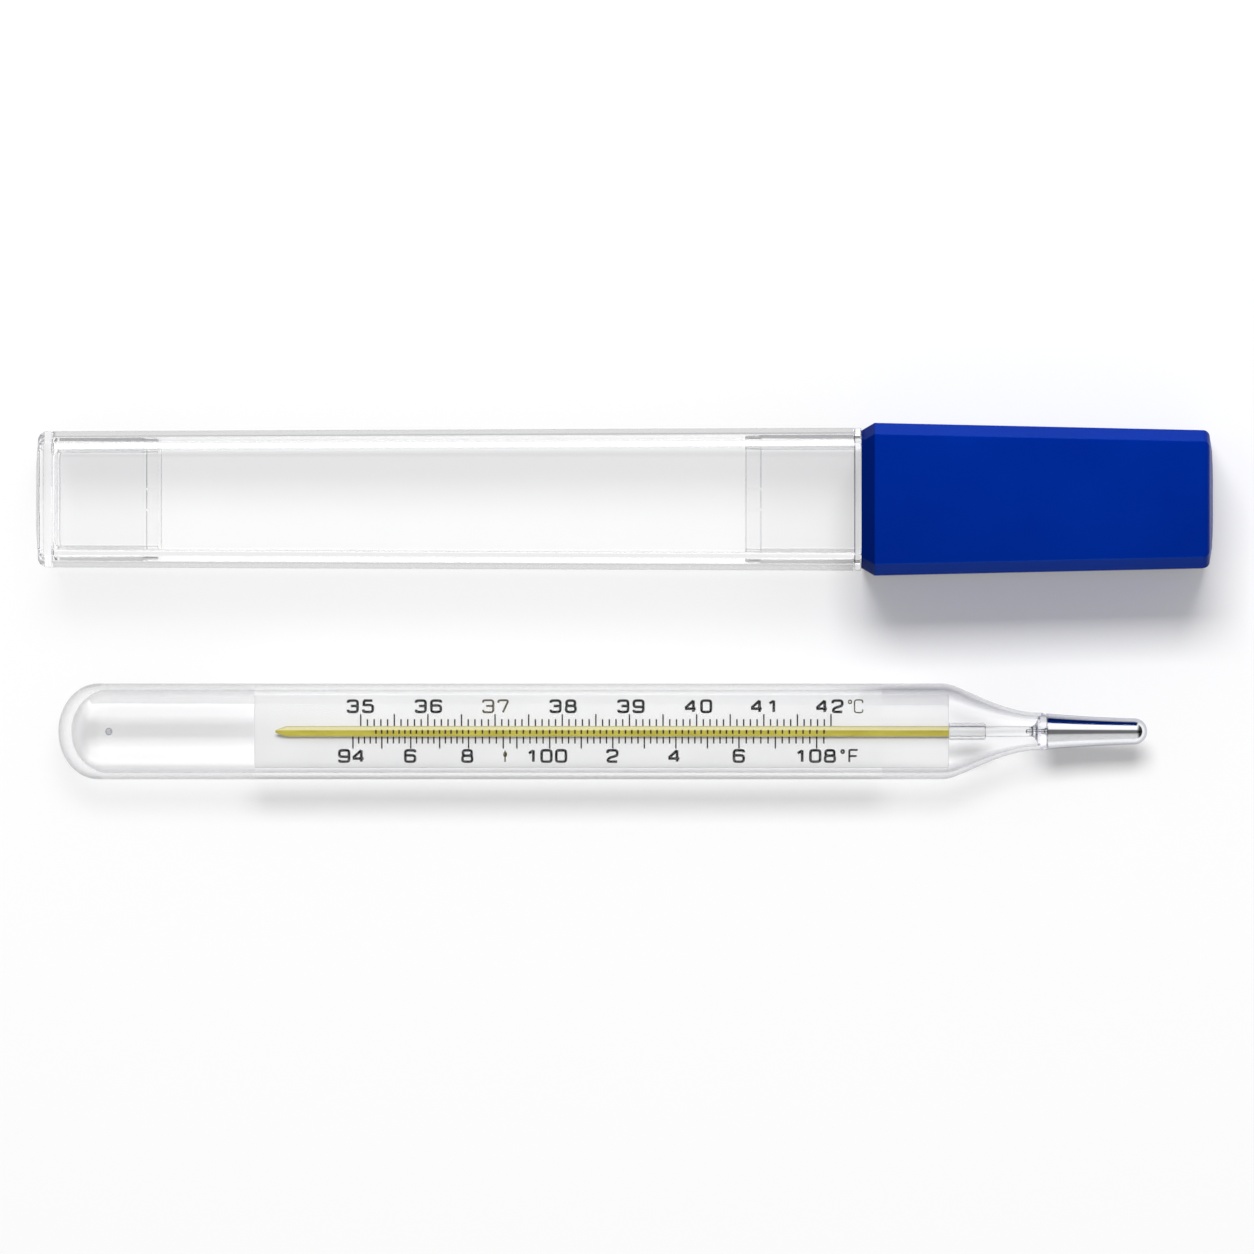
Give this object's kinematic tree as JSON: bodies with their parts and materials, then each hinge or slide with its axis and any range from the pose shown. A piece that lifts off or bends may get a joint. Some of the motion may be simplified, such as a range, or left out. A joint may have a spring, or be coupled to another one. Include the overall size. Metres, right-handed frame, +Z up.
{
  "type": "clinical thermometer with case",
  "caption": "Enclosed-scale mercury glass thermometer with a tapered bulb, lying beside its clear square-section case, which closes with a blue pull-off cap.",
  "frame": {"origin": "centre of the footprint of thermometer and case, on the surface they lie on", "axes": "+X along both pieces, towards the bulb and the cap; +Y from the thermometer to the case; +Z up"},
  "size_m": [0.1348, 0.0408, 0.0174],
  "materials": {
    "sheath_glass": "clear, polished",
    "bead_glass": "clear, fire-polished",
    "opal_plate": "white opal, satin",
    "celsius_ink": "printed ink",
    "fahrenheit_ink": "printed ink",
    "capillary_glass": "clear, polished",
    "yellow_enamel": "fired enamel",
    "collar_glass": "clear, polished",
    "weld_glass": "clear, fire-polished",
    "bulb_glass": "clear, fire-polished",
    "mercury": "liquid metal",
    "mercury_thread": "liquid metal",
    "clear_tube_plastic": "clear, moulded",
    "clear_plug_plastic": "clear, moulded",
    "clear_neck_plastic": "clear, moulded",
    "blue_plastic": "satin, moulded"
  },
  "bodies": {
    "case": {"case_tube": "clear_tube_plastic", "case_end_plug": "clear_plug_plastic", "case_neck": "clear_neck_plastic"},
    "cap": {"case_cap": "blue_plastic"},
    "thermometer": {"sheath": "sheath_glass", "seal_bead": "bead_glass", "scale_plate": "opal_plate", "celsius_graduations": "celsius_ink", "fahrenheit_graduations": "fahrenheit_ink", "capillary_tube": "capillary_glass", "capillary_backing": "yellow_enamel", "capillary_collar": "collar_glass", "neck_weld": "weld_glass", "bulb_glass": "bulb_glass", "mercury_reservoir": "mercury"},
    "mercury_column": {"mercury_thread": "mercury_thread"}
  },
  "joints": [
    {"name": "cap_pull", "type": "slide", "parent": "case", "child": "cap", "axis": [0.9999, 0, 0.01], "range_m": [0, 0.03]},
    {"name": "thermometer_lift", "type": "slide", "parent": "case", "child": "thermometer", "axis": [0, 0, 1], "range_m": [0, 0.04]},
    {"name": "mercury_rise", "type": "slide", "parent": "thermometer", "child": "mercury_column", "axis": [-1, 0, 0], "range_m": [0, 0.076], "deforming": ["mercury_thread"]}
  ]
}
